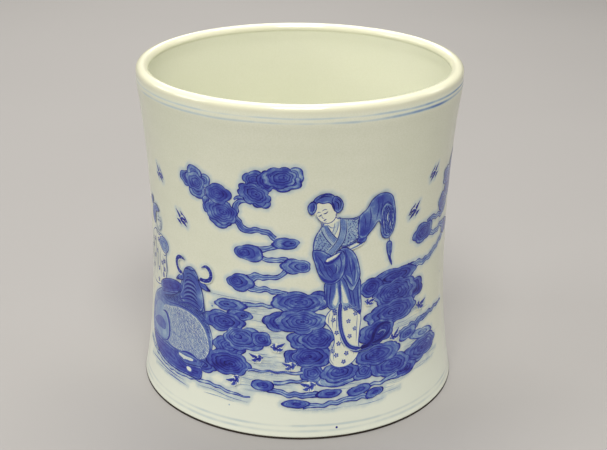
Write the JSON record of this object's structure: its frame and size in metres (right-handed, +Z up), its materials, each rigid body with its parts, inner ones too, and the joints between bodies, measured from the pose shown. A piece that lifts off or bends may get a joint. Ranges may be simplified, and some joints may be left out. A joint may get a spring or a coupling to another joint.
{
  "type": "brush pot",
  "caption": "Round waisted porcelain pot with a rolled lip and a bare foot ring, open at the top to hold writing brushes upright.",
  "frame": {"origin": "centre of the standing face, at the bottom of the foot ring", "axes": "+Z up along the pot's axis, -Y towards the side that carries the standing lady, +X to the right when facing her"},
  "size_m": [0.152, 0.152, 0.1554],
  "materials": {
    "glaze_outside": "gloss",
    "glaze_lip": "gloss",
    "glaze_inside": "gloss",
    "bare_clay": "matte",
    "cobalt_painting": "gloss"
  },
  "bodies": {
    "root": {"thrown_wall": "glaze_outside", "rolled_lip": "glaze_lip", "floor_slab": "glaze_inside", "luting_coil": "glaze_inside", "foot_ring": "bare_clay"}
  },
  "joints": []
}
